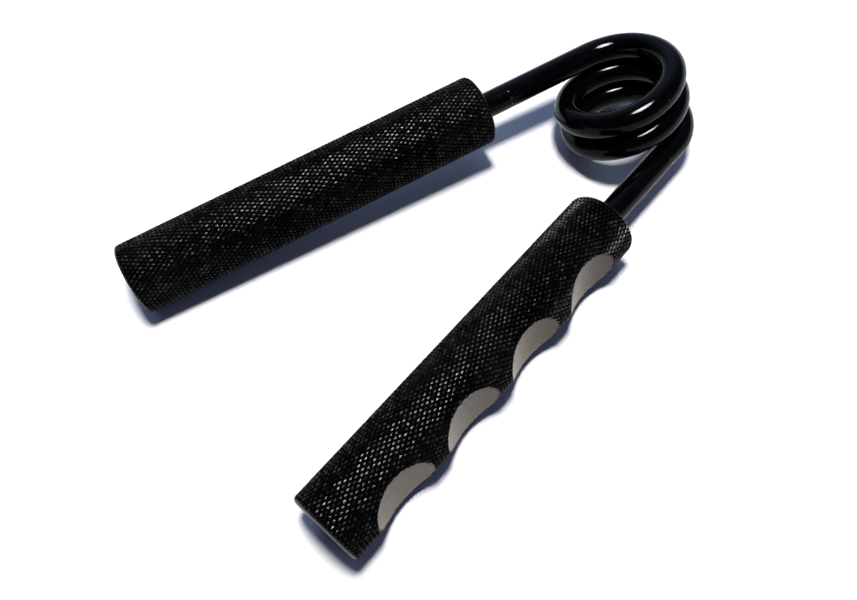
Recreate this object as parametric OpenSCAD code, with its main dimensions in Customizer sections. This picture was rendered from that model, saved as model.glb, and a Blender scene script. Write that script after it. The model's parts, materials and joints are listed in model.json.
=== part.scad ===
// Hand grip strengthener: a torsion spring of thick wire between two handles.
// Each handle is a bar, bored from its spring end and pressed onto one leg of the wire.
// The spring is drawn with its coil axis along Z, then laid down as it rests on a table.

/* [Spring wire] */
// Diameter of the wire
wire_d = 8; // [5:0.1:10]
// Mean diameter of the coil, across the middle of the wire
coil_d = 33.2; // [30:0.1:44]
// Gap between neighbouring turns, along the coil's axis
turn_gap = 0.7; // [0.6:0.05:4]
// Whole turns of the coil, beyond the half turn that brings the legs side by side
whole_turns = 2; // [1:1:4]
// Length of wire that shows between the coil and the plain handle
upper_leg_len = 39.2; // [20:0.1:60]
// Length of wire that shows between the coil and the grooved handle
lower_leg_len = 38.3; // [20:0.1:60]
// Slope at which the upper leg rises away from the coil
upper_slope = 7.2; // [0:0.1:8]
// Slope at which the lower leg rises away from the coil
lower_slope = 2.7; // [0:0.1:6]
// How far the lower leg starts below the line of the even winding
lower_drop = 2.3; // [0:0.1:6]
// Part of the winding, in degrees, over which the wire bends into the line of the upper leg
upper_bend = 60; // [30:5:90]
// Part of the winding, in degrees, over which the wire bends into the line of the lower leg
lower_bend = 100; // [60:5:150]

/* [Handles] */
// Angle between the two handles at rest
open_angle = 20.2; // [16:0.1:40]
// Diameter of each handle
handle_d = 22; // [19:0.5:28]
// Length of each handle
handle_len = 117.5; // [112:0.5:140]
// Radius of the rounded edge at each end of a handle
edge_r = 1.5; // [0.5:0.1:3]
// Depth of the hole that each leg is pressed into
socket_depth = 50; // [30:1:80]
// Width of the countersink round the mouth of that hole
mouth_w = 0.6; // [0.2:0.1:1.5]

/* [Finger grooves] */
// Number of grooves in the grooved handle
groove_count = 4; // [1:1:4]
// Radius of each groove
groove_r = 18.1; // [12:0.1:22]
// Depth of each groove
groove_depth = 3.4; // [2:0.1:6]
// Spacing of the grooves
groove_pitch = 26.1; // [23:0.1:28]
// Distance from the handle's spring end to the middle of the first groove
groove_start = 19.8; // [15:0.1:26]
// Turn of the grooves, from facing straight away from the other handle towards facing down
groove_roll = 15; // [0:1:60]

/* [Hidden] */

wire_r = wire_d / 2;
coil_r = coil_d / 2;
handle_r = handle_d / 2;
leg_black = [0.04, 0.04, 0.045];
handle_black = [0.09, 0.09, 0.1];

// ---- Centre line of the coil ----
// The wire winds clockwise, seen from above, from the upper leg down to the lower leg.
wind_angle = 360 * whole_turns + 180 - open_angle;
coil_pitch = wire_d + turn_gap;
coil_rise = coil_pitch * wind_angle / 360;
// Length of wire in one degree of winding
arc = coil_r * PI / 180;
// The coil's own ends run straight for one wire diameter before the legs take over
stub_len = wire_d;

// Height of the even winding at the angle t
function even_z(t) = coil_rise / 2 - coil_pitch * t / 360;
even_rate = -coil_pitch / 360;
// Height, and its rate per degree, at the share x of a bend of w degrees that runs from the
// height a and the rate ra to the height b and the rate rb
function bend_z(x, w, a, ra, b, rb) =
    a * (1 + 2 * x) * (1 - x) ^ 2 + b * (3 - 2 * x) * x ^ 2
    + w * (ra * x * (1 - x) ^ 2 - rb * (1 - x) * x ^ 2);
function bend_rate(x, w, a, ra, b, rb) =
    6 * (b - a) * x * (1 - x) / w + ra * (1 - x) * (1 - 3 * x) + rb * x * (3 * x - 2);
// Where the legs start, and the rate at which the wire meets each of them
upper_z = even_z(0);
lower_z = even_z(wind_angle) - lower_drop;
lower_start = wind_angle - lower_bend;
upper_rate = -arc * tan(upper_slope);
lower_rate = arc * tan(lower_slope);
function coil_z(t) =
    t < upper_bend ? bend_z(t / upper_bend, upper_bend, upper_z, upper_rate,
                            even_z(upper_bend), even_rate)
    : t > lower_start ? bend_z((t - lower_start) / lower_bend, lower_bend,
                               even_z(lower_start), even_rate, lower_z, lower_rate)
    : even_z(t);
function coil_rate(t) =
    t < upper_bend ? bend_rate(t / upper_bend, upper_bend, upper_z, upper_rate,
                               even_z(upper_bend), even_rate)
    : t > lower_start ? bend_rate((t - lower_start) / lower_bend, lower_bend,
                                  even_z(lower_start), even_rate, lower_z, lower_rate)
    : even_rate;

// Direction from the coil axis to the wire at the angle t of winding
function radial(t) = [cos(90 - t), sin(90 - t), 0];
function coil_centre(t) = coil_r * radial(t) + [0, 0, coil_z(t)];
function coil_along(t) =
    let (v = [arc * sin(90 - t), -arc * cos(90 - t), coil_rate(t)])
    v / norm(v);

// Points round the wire at centre c, where the wire runs along v and r points outwards
wire_sides = 16;
function wire_ring(c, v, r) =
    let (up = cross(r, v))
    [for (k = [0:wire_sides - 1])
        let (a = 360 * (k + 0.5) / wire_sides)
        c + wire_r * (cos(a) * r + sin(a) * up)];

// Rings along the coil: a straight stub, the winding, and a straight stub
turn_rings = 48;
ring_count = ceil(wind_angle / 360 * turn_rings);
ring_angles = [for (i = [0:ring_count]) wind_angle * i / ring_count];
coil_rings = concat(
    [wire_ring(coil_centre(0) - stub_len * coil_along(0), coil_along(0), radial(0))],
    [for (t = ring_angles) wire_ring(coil_centre(t), coil_along(t), radial(t))],
    [wire_ring(coil_centre(wind_angle) + stub_len * coil_along(wind_angle),
               coil_along(wind_angle), radial(wind_angle))]);
coil_points = [for (ring = coil_rings) each ring];
last_ring = len(coil_rings) - 1;

// Triangles between neighbouring rings, and a fan over each end
function side_faces() =
    [for (i = [0:last_ring - 1], k = [0:wire_sides - 1])
        let (a = i * wire_sides + k,
             b = i * wire_sides + (k + 1) % wire_sides)
        each [[a, b, a + wire_sides], [b, b + wire_sides, a + wire_sides]]];
function end_faces() =
    let (last = last_ring * wire_sides)
    [for (k = [1:wire_sides - 2])
        each [[0, k + 1, k], [last, last + k, last + k + 1]]];

// Least gap of the coil to itself, between points at least half a turn apart
least_gap = min([for (i = ring_angles, j = ring_angles)
    if (j - i > 180) norm(coil_centre(i) - coil_centre(j))]) - wire_d;
echo(str("Least gap of the coil to itself, mm: ", least_gap));

// ---- Where each leg runs ----
function turn_z(p, a) = [p[0] * cos(a) - p[1] * sin(a), p[0] * sin(a) + p[1] * cos(a), p[2]];
// Point at the distance s along a leg from the coil
upper_dir = [-cos(upper_slope), 0, sin(upper_slope)];
lower_dir = turn_z([-cos(lower_slope), 0, sin(lower_slope)], open_angle);
function on_upper_leg(s) = [0, coil_r, upper_z] + s * upper_dir;
function on_lower_leg(s) = turn_z([0, -coil_r, lower_z], open_angle) + s * lower_dir;
upper_end = upper_leg_len + handle_len;
lower_end = lower_leg_len + handle_len;

// ---- How it lies on a table ----
// It stands on three places: the coil and the free ends of both handles. The lowest point
// of each depends on which way is up, so the plane through them is found in a few rounds.

// Lowest point, against the direction up, of a rounded rim whose axis is v and centre is c
function rim_low(c, v, up) =
    let (across = up - (up * v) * v)
    c - (handle_r - edge_r) * across / norm(across) - edge_r * up;
// Lowest point of the winding
coil_line = [for (t = ring_angles) coil_centre(t)];
function coil_low(up) =
    let (heights = [for (c = coil_line) c * up],
         lowest = search(min(heights), heights)[0])
    coil_line[lowest] - wire_r * up;
function table_up(up, rounds) =
    rounds == 0 ? up
    : let (a = rim_low(on_lower_leg(lower_end - edge_r), lower_dir, up),
           b = coil_low(up),
           c = rim_low(on_upper_leg(upper_end - edge_r), upper_dir, up),
           n = cross(b - a, c - a))
      table_up(n / norm(n) * sign(n[2]), rounds - 1);
up = table_up([0, 0, 1], 6);
lean = [atan2(up[1], up[2]), -atan2(up[0], norm([up[1], up[2]]))];

// A point or direction of the upright spring, leaned over until up points along Z
function leaned(p) =
    let (y = p[1] * cos(lean[0]) - p[2] * sin(lean[0]),
         z = p[1] * sin(lean[0]) + p[2] * cos(lean[0]))
    [p[0] * cos(lean[1]) + z * sin(lean[1]), y, z * cos(lean[1]) - p[0] * sin(lean[1])];
// It is then turned until the grooved handle lies along X, seen from above
leaned_dir = leaned(lower_dir);
facing = 180 - atan2(leaned_dir[1], leaned_dir[0]);
function laid(p) = turn_z(leaned(p), facing);

// Points round a handle's two rounded rims, and all the coil's points, laid down
rim_steps = 96;
edge_steps = 6;
function rim_points(c, v, inward) =
    let (w = cross(v, [0, 0, 1]))
    [for (i = [0:rim_steps - 1], k = [0:edge_steps])
        let (a = 360 * i / rim_steps,
             e = 90 * k / edge_steps,
             out = cos(a) * w + sin(a) * [0, 0, 1])
        c + (handle_r - edge_r + edge_r * cos(e)) * out + edge_r * (1 - sin(e)) * inward * v];
outer_points = [for (p = concat(
    coil_points,
    rim_points(on_upper_leg(upper_leg_len), upper_dir, 1),
    rim_points(on_upper_leg(upper_end), upper_dir, -1),
    rim_points(on_lower_leg(lower_leg_len), lower_dir, 1),
    rim_points(on_lower_leg(lower_end), lower_dir, -1))) laid(p)];
xs = [for (p = outer_points) p[0]];
ys = [for (p = outer_points) p[1]];
zs = [for (p = outer_points) p[2]];
// The origin lies on the table, under the middle of the whole
rest_shift = [-(min(xs) + max(xs)) / 2, -(min(ys) + max(ys)) / 2, -min(zs)];

// Where the coil axis and the handles run, and which way the handles close
echo(str("Middle of the coil axis, mm: ", laid([0, 0, 0]) + rest_shift));
echo(str("Closing turns about: ", -laid([0, 0, 1])));
echo(str("Plain handle's free end, mm: ", laid(on_upper_leg(upper_end)) + rest_shift));
echo(str("It faces: ", laid(upper_dir)));
echo(str("Grooved handle's free end, mm: ", laid(on_lower_leg(lower_end)) + rest_shift));
echo(str("It faces: ", laid(lower_dir)));

module lie_down() {
    translate(rest_shift) rotate([lean[0], lean[1], facing]) children();
}

// Each leg starts at the coil and runs along the child's +Z; its +X points up the coil axis
module along_upper_leg() {
    translate([0, coil_r, upper_z]) rotate([0, upper_slope - 90, 0]) children();
}

module along_lower_leg() {
    rotate([0, 0, open_angle]) translate([0, -coil_r, lower_z])
        rotate([0, lower_slope - 90, 0]) children();
}

// ---- Pieces ----
// Straight end of the wire, from the coil to the bottom of its hole
module leg(shown_len) {
    color(leg_black) translate([0, 0, stub_len])
        cylinder(d = wire_d, h = shown_len - stub_len + socket_depth, $fn = 48);
}

// Bar with rounded ends
module bar() {
    rotate_extrude($fn = 96) {
        translate([0, edge_r]) square([handle_r, handle_len - 2 * edge_r]);
        square([handle_r - edge_r, handle_len]);
        intersection() {
            for (z = [edge_r, handle_len - edge_r])
                translate([handle_r - edge_r, z]) circle(r = edge_r, $fn = 32);
            square([handle_r, handle_len]);
        }
    }
}

// Blind hole for a leg, with a drill point at its bottom and a countersink at its mouth
module leg_hole() {
    drill_point = wire_r / tan(59);
    cylinder(d = wire_d, h = socket_depth, $fn = 48);
    translate([0, 0, socket_depth])
        cylinder(r1 = wire_r, r2 = 0, h = drill_point, $fn = 48);
    translate([0, 0, -mouth_w])
        cylinder(r1 = wire_r + 2 * mouth_w, r2 = wire_r, h = 2 * mouth_w, $fn = 48);
}

module drilled_bar() {
    difference() {
        bar();
        leg_hole();
    }
}

// Scoops across the bar, one for each finger
module finger_grooves() {
    scoop_axis = handle_r - groove_depth + groove_r;
    for (i = [0:groove_count - 1])
        rotate([0, 0, -groove_roll])
            translate([0, -scoop_axis, groove_start + i * groove_pitch])
                rotate([0, 90, 0])
                    cylinder(r = groove_r, h = 2 * handle_d, center = true, $fn = 96);
}

module plain_handle() {
    color(handle_black) along_upper_leg() translate([0, 0, upper_leg_len]) drilled_bar();
}

module grooved_handle() {
    color(handle_black) along_lower_leg() translate([0, 0, lower_leg_len])
        difference() {
            drilled_bar();
            finger_grooves();
        }
}

module spring_coil() {
    color(leg_black) polyhedron(points = coil_points, faces = concat(side_faces(), end_faces()));
}

module upper_leg() {
    along_upper_leg() leg(upper_leg_len);
}

module lower_leg() {
    along_lower_leg() leg(lower_leg_len);
}

lie_down() plain_handle();
lie_down() grooved_handle();
lie_down() spring_coil();
lie_down() upper_leg();
lie_down() lower_leg();
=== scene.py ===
# Hand grip strengthener: looks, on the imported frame.
# Lengths are in metres. Each piece is built in its own simple space and then laid in place.
import json
import math

import bmesh
import bpy
import numpy as np
from mathutils import Matrix, Vector


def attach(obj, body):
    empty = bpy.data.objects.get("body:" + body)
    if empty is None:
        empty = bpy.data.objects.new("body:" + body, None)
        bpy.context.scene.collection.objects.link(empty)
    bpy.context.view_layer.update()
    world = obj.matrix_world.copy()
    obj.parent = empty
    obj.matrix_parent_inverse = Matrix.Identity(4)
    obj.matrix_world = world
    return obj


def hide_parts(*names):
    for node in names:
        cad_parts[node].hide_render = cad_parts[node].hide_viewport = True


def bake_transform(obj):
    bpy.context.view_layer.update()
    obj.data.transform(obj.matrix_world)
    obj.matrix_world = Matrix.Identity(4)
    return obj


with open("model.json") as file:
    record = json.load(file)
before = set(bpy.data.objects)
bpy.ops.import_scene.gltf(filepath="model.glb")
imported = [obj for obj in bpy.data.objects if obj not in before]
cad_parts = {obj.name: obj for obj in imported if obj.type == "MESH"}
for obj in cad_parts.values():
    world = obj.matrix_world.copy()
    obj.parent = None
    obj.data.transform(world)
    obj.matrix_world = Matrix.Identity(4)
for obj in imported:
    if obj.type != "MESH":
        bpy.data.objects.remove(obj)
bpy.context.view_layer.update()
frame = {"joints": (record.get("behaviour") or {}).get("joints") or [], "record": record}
rng = np.random.default_rng(7)
MM = 0.001

# ---- Sizes, the same as in the part's source ----
WIRE_R = 4 * MM
COIL_R = 16.6 * MM
COIL_PITCH = 8.7 * MM
WHOLE_TURNS = 2
UPPER_LEG_LEN = 39.2 * MM
LOWER_LEG_LEN = 38.3 * MM
UPPER_SLOPE = math.radians(7.2)
LOWER_SLOPE = math.radians(2.7)
LOWER_DROP = 2.3 * MM
UPPER_BEND = 60
LOWER_BEND = 100
OPEN_ANGLE = 20.2
HANDLE_R = 11 * MM
HANDLE_LEN = 117.5 * MM
EDGE_R = 1.5 * MM
SOCKET_DEPTH = 50 * MM
MOUTH_W = 0.6 * MM
GROOVE_COUNT = 4
GROOVE_R = 18.1 * MM
GROOVE_DEPTH = 3.4 * MM
GROOVE_PITCH = 26.1 * MM
GROOVE_START = 19.8 * MM
GROOVE_ROLL = 15

WIND_ANGLE = 360 * WHOLE_TURNS + 180 - OPEN_ANGLE
COIL_RISE = COIL_PITCH * WIND_ANGLE / 360
LOWER_START = WIND_ANGLE - LOWER_BEND
# Length of wire in one degree of winding
ARC = COIL_R * math.pi / 180

# ---- Where things are, from the record ----
joint = frame["joints"][0]
mounts = {m["name"]: m for m in frame["record"]["mounts"]}
coil_mid = Vector(joint["pos_m"])
coil_up = Vector(joint["axis"]).normalized()
upper_dir = Vector(mounts["plain_end"]["axis"]).normalized()
coil_x = -upper_dir
coil_y = coil_up.cross(coil_x).normalized()
coil_x = coil_y.cross(coil_up).normalized()
# Turns and moves the upright coil's space into the row's space
COIL_SPACE = Matrix((coil_x, coil_y, coil_up)).transposed().to_4x4()
COIL_SPACE.translation = coil_mid


# ---- Centre line of the wire, in the upright coil's space ----
def even_z(t):
    """Height of the even winding at t degrees."""
    return COIL_RISE / 2 - COIL_PITCH * t / 360


EVEN_RATE = -COIL_PITCH / 360
UPPER_Z = even_z(0)
LOWER_Z = even_z(WIND_ANGLE) - LOWER_DROP


def bend_z(x, w, a, ra, b, rb):
    """Height at share x of a bend of w degrees, from height a and rate ra to b and rb."""
    return (a * (1 + 2 * x) * (1 - x) ** 2 + b * (3 - 2 * x) * x ** 2
            + w * (ra * x * (1 - x) ** 2 - rb * (1 - x) * x ** 2))


def coil_z(t):
    if t < UPPER_BEND:
        return bend_z(t / UPPER_BEND, UPPER_BEND, UPPER_Z, -ARC * math.tan(UPPER_SLOPE),
                      even_z(UPPER_BEND), EVEN_RATE)
    if t > LOWER_START:
        return bend_z((t - LOWER_START) / LOWER_BEND, LOWER_BEND, even_z(LOWER_START), EVEN_RATE,
                      LOWER_Z, ARC * math.tan(LOWER_SLOPE))
    return even_z(t)


def coil_point(t):
    a = math.radians(90 - t)
    return Vector((COIL_R * math.cos(a), COIL_R * math.sin(a), coil_z(t)))


def upper_leg_point(s):
    return Vector((-s * math.cos(UPPER_SLOPE), COIL_R, UPPER_Z + s * math.sin(UPPER_SLOPE)))


def lower_leg_point(s):
    turn = Matrix.Rotation(math.radians(OPEN_ANGLE), 4, "Z")
    return turn @ Vector((-s * math.cos(LOWER_SLOPE), -COIL_R,
                          LOWER_Z + s * math.sin(LOWER_SLOPE)))


# ---- Helpers for meshes ----
# Material slots of a handle
KNURL, GROOVE, TURNED, HOLE = range(4)


def new_object(name, mesh):
    obj = bpy.data.objects.new(name, mesh)
    bpy.context.scene.collection.objects.link(obj)
    return obj


def mesh_from(name, points, faces, slot=0):
    """A smooth mesh, all of one material slot."""
    mesh = bpy.data.meshes.new(name)
    mesh.from_pydata([tuple(p) for p in points], [], faces)
    mesh.update()
    mesh.polygons.foreach_set("use_smooth", [True] * len(faces))
    mesh.polygons.foreach_set("material_index", [slot] * len(faces))
    return mesh


def lathe(name, profile, steps, slot):
    """A closed solid from a profile of (radius, height), whose ends are on the axis."""
    points = [(0, 0, profile[0][1])]
    for r, z in profile[1:-1]:
        for i in range(steps):
            a = 2 * math.pi * i / steps
            points.append((r * math.cos(a), r * math.sin(a), z))
    points.append((0, 0, profile[-1][1]))
    faces = []
    rings = len(profile) - 2
    last = len(points) - 1
    for i in range(steps):
        j = (i + 1) % steps
        faces.append((0, 1 + j, 1 + i))
        for k in range(rings - 1):
            a = 1 + k * steps
            b = a + steps
            faces.append((a + i, a + j, b + j, b + i))
        a = 1 + (rings - 1) * steps
        faces.append((a + i, a + j, last))
    return new_object(name, mesh_from(name, points, faces, slot))


def cut(obj, tool, operation):
    """Cuts obj with tool, and drops the tool."""
    step = obj.modifiers.new("cut", "BOOLEAN")
    step.operation = operation
    step.solver = "EXACT"
    step.object = tool
    bpy.context.view_layer.update()
    graph = bpy.context.evaluated_depsgraph_get()
    done = bpy.data.meshes.new_from_object(obj.evaluated_get(graph))
    obj.modifiers.clear()
    obj.data = done
    bpy.data.objects.remove(tool)


# ---- The wire ----
# Sides of the wire's mesh, and its rings on each leg and on the coil
WIRE_SIDES = 48
LEG_RINGS = 40
COIL_RINGS = 584


def build_wire():
    """One tube from the bottom of one handle's hole to the bottom of the other's."""
    upper_end = UPPER_LEG_LEN + SOCKET_DEPTH
    lower_end = LOWER_LEG_LEN + SOCKET_DEPTH
    points = [upper_leg_point(s) for s in np.linspace(upper_end, 0, LEG_RINGS)[:-1]]
    points += [coil_point(t) for t in np.linspace(0, WIND_ANGLE, COIL_RINGS)]
    points += [lower_leg_point(s) for s in np.linspace(0, lower_end, LEG_RINGS)[1:]]
    line = np.array([tuple(p) for p in points])
    along = np.gradient(line, axis=0)
    along /= np.linalg.norm(along, axis=1)[:, None]
    # The coil's axis is never along the wire, so it sets the roll of each ring
    side = np.cross(along, (0, 0, 1))
    side /= np.linalg.norm(side, axis=1)[:, None]
    top = np.cross(side, along)
    turn = 2 * np.pi * np.arange(WIRE_SIDES) / WIRE_SIDES
    rings = (line[:, None, :]
             + WIRE_R * (np.cos(turn)[None, :, None] * side[:, None, :]
                         + np.sin(turn)[None, :, None] * top[:, None, :]))
    faces = []
    for i in range(len(line) - 1):
        for k in range(WIRE_SIDES):
            a = i * WIRE_SIDES + k
            b = i * WIRE_SIDES + (k + 1) % WIRE_SIDES
            faces.append((a, b, b + WIRE_SIDES, a + WIRE_SIDES))
    last = (len(line) - 1) * WIRE_SIDES
    faces.append(tuple(range(WIRE_SIDES))[::-1])
    faces.append(tuple(last + k for k in range(WIRE_SIDES)))
    mesh = mesh_from("wire", rings.reshape(-1, 3), faces)
    # The two flat ends
    mesh.polygons.foreach_set("use_smooth", [True] * (len(faces) - 2) + [False] * 2)
    mesh.transform(COIL_SPACE)
    return new_object("wire", mesh)


# ---- The knurled handles ----
# Diamonds round the bar, and the length of one
KNURL_ROUND = 50
KNURL_LONG = 2.4 * MM
VALLEY_R = HANDLE_R - 0.5 * MM
# Each diamond has a blunt top, a flat pyramid on four shoulders. SHOULDER is its share of the
# diamond's size.
SHOULDER_R = HANDLE_R - 0.07 * MM
SHOULDER = 0.46
# How uneven the tops are: their turn round the bar in radians and shift along it, and the
# shoulders' radius
TOP_SHIFT = (0.0015, 0.03 * MM)
SHOULDER_SHIFT = 0.022 * MM
# How far the knurled bar goes past each end of the handle, before it is cut
KNURL_MARGIN = 3 * MM
# The turned outline stands this far over the knurl, so that it cuts only the ends
OUTLINE_OVER = 0.02 * MM
RIM_STEPS = 9
OUTLINE_STEPS = 160
# Room between the wire and the wall of its hole
HOLE_GAP = 0.03 * MM
HOLE_STEPS = 64
# Depth of the straight hole and of its drilled point past the end of the leg
HOLE_SPARE = 0.1 * MM
HOLE_POINT = 2.4 * MM
# How far the cutting tools stand out of the surface that they cut
OVERCUT = 1 * MM
SCOOP_STEPS = 72
# How far from the bar's axis the scoops' tool reaches, and half its width
SCOOP_OUT = 40 * MM
SCOOP_HALF = 15 * MM
# Edges sharper than this, in radians, are creases
KNURL_CREASE = 0.45
TURNED_CREASE = 0.6


def knurled_bar(name):
    """A bar of diamond points between two families of spiral grooves, longer than the handle."""
    row_h = KNURL_LONG / 2
    rows = math.ceil((HANDLE_LEN + 2 * KNURL_MARGIN) / row_h) + 1
    step = 2 * math.pi / KNURL_ROUND

    def on_bar(r, a, z):
        return (r * math.cos(a), r * math.sin(a), z)

    points = []
    for k in range(rows):
        z = k * row_h - KNURL_MARGIN
        for i in range(KNURL_ROUND):
            points.append(on_bar(VALLEY_R, (i + 0.5 * (k % 2)) * step, z))
    faces = []
    for k in range(rows):
        z = k * row_h - KNURL_MARGIN
        for i in range(KNURL_ROUND):
            j = i if k % 2 == 0 else (i + 1) % KNURL_ROUND
            left = k * KNURL_ROUND + i
            right = k * KNURL_ROUND + (i + 1) % KNURL_ROUND
            above = (k + 1) * KNURL_ROUND + j
            below = (k - 1) * KNURL_ROUND + j
            if k == 0:
                faces.append((left, right, above))
                continue
            if k == rows - 1:
                faces.append((left, below, right))
                continue
            mid = (i + 0.5 + 0.5 * (k % 2)) * step
            da, dz = rng.normal(0, 1, 2) * TOP_SHIFT
            lean = rng.normal(0, SHOULDER_SHIFT, 4)
            base = len(points)
            for (a, h), dr in zip(((-0.5, 0), (0, -1), (0.5, 0), (0, 1)), lean):
                points.append(on_bar(min(SHOULDER_R + dr, HANDLE_R), mid + da + SHOULDER * a * step,
                                     z + dz + SHOULDER * h * row_h))
            points.append(on_bar(HANDLE_R, mid + da, z + dz))
            corners = (left, below, right, above)
            for c in range(4):
                d = (c + 1) % 4
                faces.append((corners[c], corners[d], base + d, base + c))
                faces.append((base + c, base + d, base + 4))
    faces.append(tuple(range(KNURL_ROUND))[::-1])
    faces.append(tuple((rows - 1) * KNURL_ROUND + i for i in range(KNURL_ROUND)))
    return new_object(name, mesh_from(name, points, faces, KNURL))


def turned_form(name):
    """The turned outline of a handle: rounded rims, and a hair over the knurl between them."""
    r = HANDLE_R + OUTLINE_OVER
    arc = [math.radians(a) for a in np.linspace(0, 90, RIM_STEPS)]
    profile = [(0, 0)]
    profile += [(r - EDGE_R + EDGE_R * math.sin(a), EDGE_R * (1 - math.cos(a))) for a in arc]
    profile += [(r - EDGE_R + EDGE_R * math.cos(a), HANDLE_LEN - EDGE_R * (1 - math.sin(a)))
                for a in arc]
    profile += [(0, HANDLE_LEN)]
    return lathe(name, profile, OUTLINE_STEPS, TURNED)


def leg_hole():
    r = WIRE_R + HOLE_GAP
    profile = [(0, -OVERCUT), (WIRE_R + MOUTH_W + OVERCUT, -OVERCUT), (r, MOUTH_W),
               (r, SOCKET_DEPTH + HOLE_SPARE), (0, SOCKET_DEPTH + HOLE_POINT)]
    return lathe("leg_hole", profile, HOLE_STEPS, HOLE)


def finger_scoops():
    """One tool with a wave of four arcs below. X is along the scoops, and -Y faces the bar."""
    axis = HANDLE_R - GROOVE_DEPTH + GROOVE_R
    lip = HANDLE_R + OVERCUT
    half = math.sqrt(GROOVE_R**2 - (axis - lip) ** 2)
    reach = math.asin(half / GROOVE_R)
    wave = []
    for i in range(GROOVE_COUNT):
        z = GROOVE_START + i * GROOVE_PITCH
        for a in np.linspace(-reach, reach, SCOOP_STEPS):
            wave.append((axis - GROOVE_R * math.cos(a), z + GROOVE_R * math.sin(a)))
    wave += [(SCOOP_OUT, wave[-1][1]), (SCOOP_OUT, wave[0][1])]
    count = len(wave)
    points = [(x, -o, z) for x in (-SCOOP_HALF, SCOOP_HALF) for o, z in wave]
    faces = [(i, (i + 1) % count, count + (i + 1) % count, count + i) for i in range(count)]
    faces += [tuple(range(count))[::-1], tuple(range(count, 2 * count))]
    mesh = mesh_from("scoops", points, faces, GROOVE)
    bm = bmesh.new()
    bm.from_mesh(mesh)
    bmesh.ops.recalc_face_normals(bm, faces=bm.faces)
    bm.to_mesh(mesh)
    bm.free()
    mesh.transform(Matrix.Rotation(math.radians(-GROOVE_ROLL), 4, "Z"))
    return new_object("scoops", mesh)


def mark_creases(mesh):
    """Sharp where the surfaces change kind, at the knurl's valleys, and at hard turned edges."""
    bm = bmesh.new()
    bm.from_mesh(mesh)
    for edge in bm.edges:
        if len(edge.link_faces) != 2:
            edge.smooth = False
            continue
        f, g = edge.link_faces
        if f.material_index != g.material_index:
            edge.smooth = False
            continue
        crease = KNURL_CREASE if f.material_index == KNURL else TURNED_CREASE
        edge.smooth = abs(edge.calc_face_angle_signed(0)) < crease
    for face in bm.faces:
        face.smooth = True
    bm.to_mesh(mesh)
    bm.free()


def build_handle(name, space, grooved, slots):
    """slots: the materials of the knurl, the grooves, the turned ends and the hole."""
    # Both objects of a cut have all the slots before it, so that faces keep their slot numbers
    def with_slots(obj):
        for mat in slots:
            obj.data.materials.append(mat)
        return obj

    form = with_slots(turned_form(name + "_form"))
    cut(form, with_slots(leg_hole()), "DIFFERENCE")
    if grooved:
        cut(form, with_slots(finger_scoops()), "DIFFERENCE")
    bar = with_slots(knurled_bar(name))
    cut(bar, form, "INTERSECT")
    mark_creases(bar.data)
    # The place in the bar's own space, which the turning marks on its ends follow
    own = bar.data.attributes.new("own_place", "FLOAT_VECTOR", "POINT")
    own.data.foreach_set("vector", np.array([v.co for v in bar.data.vertices]).ravel())
    bar.data.transform(space)
    bar.data.update()
    return bar


def leg_space(point, turn, slope, length):
    """The space of a handle: +Z along its leg, +X up the coil's axis, origin at its mouth."""
    local = (Matrix.Rotation(math.radians(turn), 4, "Z")
             @ Matrix.Translation(point) @ Matrix.Rotation(slope - math.pi / 2, 4, "Y")
             @ Matrix.Translation((0, 0, length)))
    return COIL_SPACE @ local


# ---- Helpers for materials ----
def noise(tree, coords, scale, detail):
    node = tree.nodes.new("ShaderNodeTexNoise")
    node.inputs["Scale"].default_value = scale
    node.inputs["Detail"].default_value = detail
    node.inputs["Roughness"].default_value = 0.5
    tree.links.new(coords, node.inputs["Vector"])
    return node.outputs["Fac"]


def ramp(tree, source, stops):
    node = tree.nodes.new("ShaderNodeValToRGB")
    for element, (at, colour) in zip(node.color_ramp.elements, stops):
        element.position = at
        element.color = (*colour, 1)
    tree.links.new(source, node.inputs["Fac"])
    return node.outputs["Color"]


def map_range(tree, source, low, high, to_low, to_high):
    node = tree.nodes.new("ShaderNodeMapRange")
    values = (low, high, to_low, to_high)
    for key, value in zip(("From Min", "From Max", "To Min", "To Max"), values):
        node.inputs[key].default_value = value
    tree.links.new(source, node.inputs["Value"])
    return node.outputs["Result"]


def math_node(tree, operation, *sources):
    node = tree.nodes.new("ShaderNodeMath")
    node.operation = operation
    for socket, source in zip(node.inputs, sources):
        if isinstance(source, (int, float)):
            socket.default_value = source
        else:
            tree.links.new(source, socket)
    return node.outputs[0]


def blended(tree, share, under, over):
    """The colour over, where share is 1, on under, which is a colour or a node's output."""
    node = tree.nodes.new("ShaderNodeMixRGB")
    tree.links.new(share, node.inputs["Fac"])
    if isinstance(under, tuple):
        node.inputs["Color1"].default_value = (*under, 1)
    else:
        tree.links.new(under, node.inputs["Color1"])
    node.inputs["Color2"].default_value = (*over, 1)
    return node.outputs["Color"]


def bump(tree, shader, height, distance):
    node = tree.nodes.new("ShaderNodeBump")
    node.inputs["Distance"].default_value = distance
    node.inputs["Strength"].default_value = 1
    tree.links.new(height, node.inputs["Height"])
    tree.links.new(node.outputs["Normal"], shader.inputs["Normal"])


def object_coords(tree):
    return tree.nodes.new("ShaderNodeTexCoord").outputs["Object"]


def surface(name, tint, rough):
    """A material whose colour and roughness follow a noise each. tint and rough: the scale and
    detail of the noise, the part of its range that is used, and what the ends of that become."""
    mat = bpy.data.materials.new(name)
    mat.use_nodes = True
    tree = mat.node_tree
    shader = tree.nodes["Principled BSDF"]
    coords = object_coords(tree)
    scale, detail, low, high, dark, light = tint
    colour = ramp(tree, noise(tree, coords, scale, detail), [(low, dark), (high, light)])
    tree.links.new(colour, shader.inputs["Base Color"])
    scale, detail, *spread = rough
    roughness = map_range(tree, noise(tree, coords, scale, detail), *spread)
    tree.links.new(roughness, shader.inputs["Roughness"])
    return mat, tree, shader, coords, colour


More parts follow.
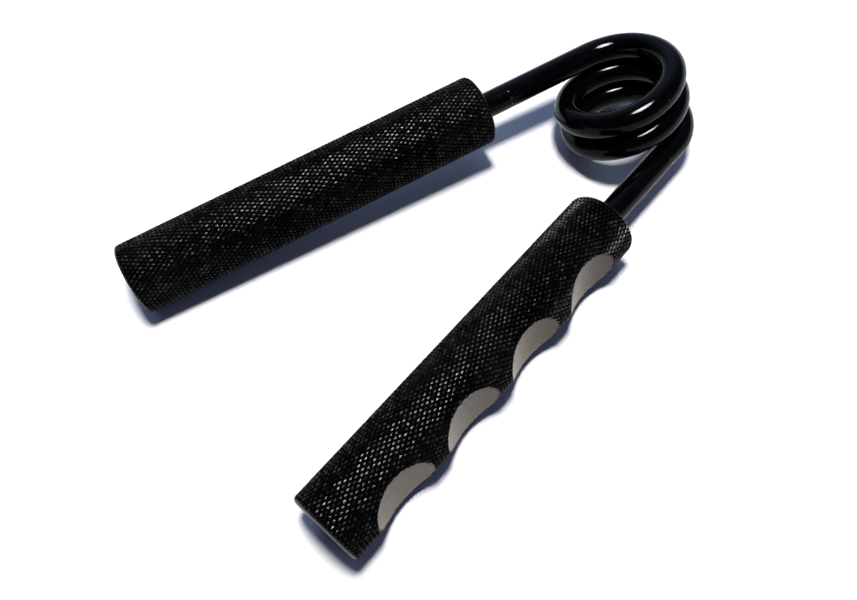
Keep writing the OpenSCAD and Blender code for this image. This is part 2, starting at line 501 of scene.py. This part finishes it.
def spotted(tree, coords, scale, detail, low, high):
    """Spots of 1 on 0, from the part of a noise above low."""
    return map_range(tree, noise(tree, coords, scale, detail), low, high, 0, 1)


# ---- Materials ----
WORN_WIRE = (0.38, 0.37, 0.34)
# Colour of the knurl's lighter diamond edges: partly wear, partly a painted glint that stands in
# for highlights
KNURL_WEAR_AND_GLINT = (0.1, 0.1, 0.095)
# The metal's tint at a grazing angle
BARE_EDGE_TINT = (0.94, 0.89, 0.83)
TURNING_STEP = 0.45 * MM


def gloss_black():
    """The wire's coating, with a few small specks of wear."""
    mat, tree, shader, coords, colour = surface(
        "gloss_black",
        (90, 3, 0.3, 0.7, (0.0006, 0.0006, 0.0007), (0.0016, 0.0016, 0.0018)),
        (160, 4, 0.3, 0.7, 0.06, 0.13))
    specks = spotted(tree, coords, 800, 1, 0.70, 0.73)
    patchy = spotted(tree, coords, 75, 2, 0.575, 0.62)
    share = math_node(tree, "MULTIPLY", specks, patchy)
    tree.links.new(blended(tree, share, colour, WORN_WIRE), shader.inputs["Base Color"])
    shader.inputs["Specular IOR Level"].default_value = 0.085
    bump(tree, shader, noise(tree, coords, 420, 2), 0.03 * MM)
    return mat


def knurl_black():
    """Black knurl, lighter in patches along the edges of its diamonds: partly wear, partly painted
    glints that stand in for highlights.
    """
    mat, tree, shader, coords, colour = surface(
        "knurl_black",
        (120, 4, 0.3, 0.7, (0.0008, 0.0008, 0.0009), (0.0022, 0.0022, 0.0022)),
        (110, 4, 0.35, 0.65, 0.18, 0.34))
    # Lighter patches on the diamonds' sharp edges: partly wear, partly painted glints of light
    pointed = tree.nodes.new("ShaderNodeNewGeometry").outputs["Pointiness"]
    edges = map_range(tree, pointed, 0.52, 0.62, 0, 1)
    patchy = spotted(tree, coords, 480, 3, 0.52, 0.66)
    share = math_node(tree, "MULTIPLY", edges, patchy)
    tree.links.new(blended(tree, share, colour, KNURL_WEAR_AND_GLINT), shader.inputs["Base Color"])
    shader.inputs["Specular IOR Level"].default_value = 0.07
    bump(tree, shader, noise(tree, coords, 3500, 2), 0.02 * MM)
    return mat


def bare_metal():
    mat, tree, shader, coords, _ = surface(
        "bare_metal",
        (60, 3, 0.3, 0.7, (0.056, 0.050, 0.044), (0.068, 0.061, 0.054)),
        (900, 2, 0.3, 0.7, 0.24, 0.28))
    shader.inputs["Metallic"].default_value = 1
    shader.inputs["Specular Tint"].default_value = (*BARE_EDGE_TINT, 1)
    bump(tree, shader, noise(tree, coords, 2500, 1), 0.001 * MM)
    return mat


def turned_black():
    """Black turned ends, with fine rings round the handle's axis."""
    mat, tree, shader, coords, _ = surface(
        "turned_black",
        (200, 4, 0.3, 0.7, (0.002, 0.002, 0.002), (0.005, 0.005, 0.005)),
        (700, 3, 0.3, 0.7, 0.28, 0.4))
    shader.inputs["Specular IOR Level"].default_value = 0.12
    own = tree.nodes.new("ShaderNodeAttribute")
    own.attribute_name = "own_place"
    axes = tree.nodes.new("ShaderNodeSeparateXYZ")
    tree.links.new(own.outputs["Vector"], axes.inputs[0])
    squares = [math_node(tree, "POWER", axes.outputs[c], 2) for c in "XY"]
    radius = math_node(tree, "SQRT", math_node(tree, "ADD", *squares))
    phase = math_node(tree, "MULTIPLY", radius, 2 * math.pi / TURNING_STEP)
    rings = math_node(tree, "MULTIPLY", math_node(tree, "SINE", phase), 0.5)
    height = math_node(tree, "ADD", rings, noise(tree, coords, 2500, 2))
    bump(tree, shader, height, 0.012 * MM)
    return mat


# ---- Light and floor ----
LAMP = Vector((11, -6, 569)) * MM
LAMP_R = 52 * MM
LAMP_LEVEL = 0.95
LAMP_COLOUR = (1.03, 1.0, 0.95)
# A disk round the lamp, which only glossy surfaces show
SCREEN_R = 115 * MM
SCREEN_LEVEL = 105
# The sky is dim, with a bright part behind the object and a faint one in front
SKY_DIM = (0.012, 0.012, 0.022)
SKY_GLOW = (0.50, 0.66, 1.0)
SKY_SIDE = Vector((0.55, 0.65, 0.52)).normalized()
SKY_SIDE_POWER = 5
SKY_FAINT = (0.12, 0.14, 0.25)
SKY_FRONT = Vector((0.5, -0.75, 0.43)).normalized()
SKY_FRONT_POWER = 4
# Below this height of a direction, reflections show the white backdrop
HORIZON = (0.08, 0.16)
# What the sky adds to the floor, roughly
SKY_LIGHT = 0.12
FLOOR_HALF = 6
FLOOR_WHITE = 0.97
# The floor's colour to the camera and in reflections, a little over white under this lamp
FLOOR_SEEN = (1.08, 1.1, 1.17)


def floor_white():
    """White under the lamp. Further out, where the lamp's slant dims it, a glow that only the
    camera and reflections see makes up for that."""
    mat = bpy.data.materials.new("floor_white")
    mat.use_nodes = True
    tree = mat.node_tree
    tree.nodes.remove(tree.nodes["Principled BSDF"])
    axes = tree.nodes.new("ShaderNodeSeparateXYZ")
    tree.links.new(object_coords(tree), axes.inputs[0])
    dx = math_node(tree, "SUBTRACT", axes.outputs["X"], LAMP.x)
    dy = math_node(tree, "SUBTRACT", axes.outputs["Y"], LAMP.y)
    squares = [math_node(tree, "MULTIPLY", d, d) for d in (dx, dy)]
    flat = math_node(tree, "ADD", *squares)
    reach = math_node(tree, "ADD", flat, LAMP.z ** 2)
    # The cosine of the lamp's slant
    slant = math_node(tree, "POWER", math_node(tree, "DIVIDE", LAMP.z ** 2, reach), 0.5)
    lit = math_node(tree, "MULTIPLY", slant, FLOOR_SEEN[1] * LAMP_LEVEL)
    short = math_node(tree, "SUBTRACT", 1.0 - FLOOR_WHITE * SKY_LIGHT, lit)
    short = math_node(tree, "MAXIMUM", short, 0)
    path = tree.nodes.new("ShaderNodeLightPath")
    seen = math_node(tree, "MAXIMUM", path.outputs["Is Camera Ray"], path.outputs["Is Glossy Ray"])
    seen = math_node(tree, "MAXIMUM", seen, path.outputs["Is Transmission Ray"])
    diffuse = tree.nodes.new("ShaderNodeBsdfDiffuse")
    shade = blended(tree, seen, (FLOOR_WHITE,) * 3, FLOOR_SEEN)
    tree.links.new(shade, diffuse.inputs["Color"])
    glow = tree.nodes.new("ShaderNodeEmission")
    tree.links.new(math_node(tree, "MULTIPLY", short, seen), glow.inputs["Strength"])
    both = tree.nodes.new("ShaderNodeAddShader")
    tree.links.new(diffuse.outputs[0], both.inputs[0])
    tree.links.new(glow.outputs[0], both.inputs[1])
    tree.links.new(both.outputs[0], tree.nodes["Material Output"].inputs["Surface"])
    return mat


def new_light(name, kind):
    light = bpy.data.objects.new(name, bpy.data.lights.new(name, kind))
    light.location = LAMP
    bpy.context.scene.collection.objects.link(light)
    return light


def build_lamp():
    """As bright far away as near, so that only the slant dims the floor."""
    light = new_light("lamp", "POINT").data
    light.energy = 4 * math.pi ** 2 * LAMP_LEVEL
    light.color = LAMP_COLOUR
    light.shadow_soft_size = LAMP_R
    light.use_nodes = True
    tree = light.node_tree
    falloff = tree.nodes.new("ShaderNodeLightFalloff")
    falloff.inputs["Strength"].default_value = 1
    tree.links.new(falloff.outputs["Constant"], tree.nodes["Emission"].inputs["Strength"])


def build_screen():
    screen = new_light("screen", "AREA")
    screen.data.shape = "DISK"
    screen.data.size = 2 * SCREEN_R
    screen.data.energy = math.pi ** 2 * SCREEN_R ** 2 * SCREEN_LEVEL
    screen.visible_diffuse = False


def build_world():
    world = bpy.data.worlds.new("world")
    bpy.context.scene.world = world
    world.use_nodes = True
    tree = world.node_tree
    sky = tree.nodes["Background"]
    direction = tree.nodes.new("ShaderNodeTexCoord").outputs["Generated"]
    axes = tree.nodes.new("ShaderNodeSeparateXYZ")
    tree.links.new(direction, axes.inputs[0])
    low = map_range(tree, axes.outputs["Z"], *HORIZON, 1, 0)
    path = tree.nodes.new("ShaderNodeLightPath")
    shiny = math_node(tree, "MAXIMUM", path.outputs["Is Glossy Ray"],
                      path.outputs["Is Transmission Ray"])
    white = math_node(tree, "MAXIMUM", path.outputs["Is Camera Ray"],
                      math_node(tree, "MULTIPLY", shiny, low))

    def lobe(side, power):
        """How far the direction lies towards a side of the sky, from 0 to 1."""
        toward = tree.nodes.new("ShaderNodeVectorMath")
        toward.operation = "DOT_PRODUCT"
        tree.links.new(direction, toward.inputs[0])
        toward.inputs[1].default_value = side
        share = math_node(tree, "MAXIMUM", toward.outputs["Value"], 0)
        return math_node(tree, "POWER", share, power)

    colour = blended(tree, lobe(SKY_FRONT, SKY_FRONT_POWER), SKY_DIM, SKY_FAINT)
    colour = blended(tree, lobe(SKY_SIDE, SKY_SIDE_POWER), colour, SKY_GLOW)
    colour = blended(tree, white, colour, (1, 1, 1))
    tree.links.new(colour, sky.inputs["Color"])
    sky.inputs["Strength"].default_value = 1


# ---- Camera, fitted to the photograph ----
CAM_PLACE = (-0.092438, -0.093849, 0.199618)
CAM_RIGHT = (0.65945, -0.75086, -0.03669)
CAM_FORWARD = (0.32635, 0.32991, -0.8858)
CAM_SENSOR = 36
CAM_LENS = 31.413


def build_camera():
    cam = bpy.data.objects.new("camera", bpy.data.cameras.new("camera"))
    bpy.context.scene.collection.objects.link(cam)
    cam.data.sensor_width = CAM_SENSOR
    cam.data.lens = CAM_LENS
    cam.data.clip_start = 0.01
    forward = Vector(CAM_FORWARD).normalized()
    up = Vector(CAM_RIGHT).normalized().cross(forward).normalized()
    right = forward.cross(up)
    cam.matrix_world = Matrix((right, up, -forward)).transposed().to_4x4()
    cam.location = CAM_PLACE
    bpy.context.scene.camera = cam


# ---- Pieces ----
wire = build_wire()
wire.data.materials.append(gloss_black())
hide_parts("spring_coil", "upper_leg", "lower_leg")
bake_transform(wire)

black, bare, turned = knurl_black(), bare_metal(), turned_black()
upper_space = leg_space(upper_leg_point(0), 0, UPPER_SLOPE, UPPER_LEG_LEN)
lower_space = leg_space(Vector((0, -COIL_R, LOWER_Z)), OPEN_ANGLE, LOWER_SLOPE, LOWER_LEG_LEN)
for name, node, space, body in (
        ("plain_grip", "plain_handle", upper_space, "plain_side"),
        ("grooved_grip", "grooved_handle", lower_space, "grooved_side")):
    grip = build_handle(name, space, node == "grooved_handle", (black, bare, turned, turned))
    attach(grip, body)
    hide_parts(node)

# ---- Stage ----
corners = [(x * FLOOR_HALF, y * FLOOR_HALF, 0) for x, y in ((-1, -1), (1, -1), (1, 1), (-1, 1))]
floor = new_object("floor", mesh_from("floor", corners, [(0, 1, 2, 3)]))
floor.data.materials.append(floor_white())

build_lamp()
build_screen()
build_world()
build_camera()
bpy.context.scene.view_settings.view_transform = "Standard"

bpy.context.view_layer.update()
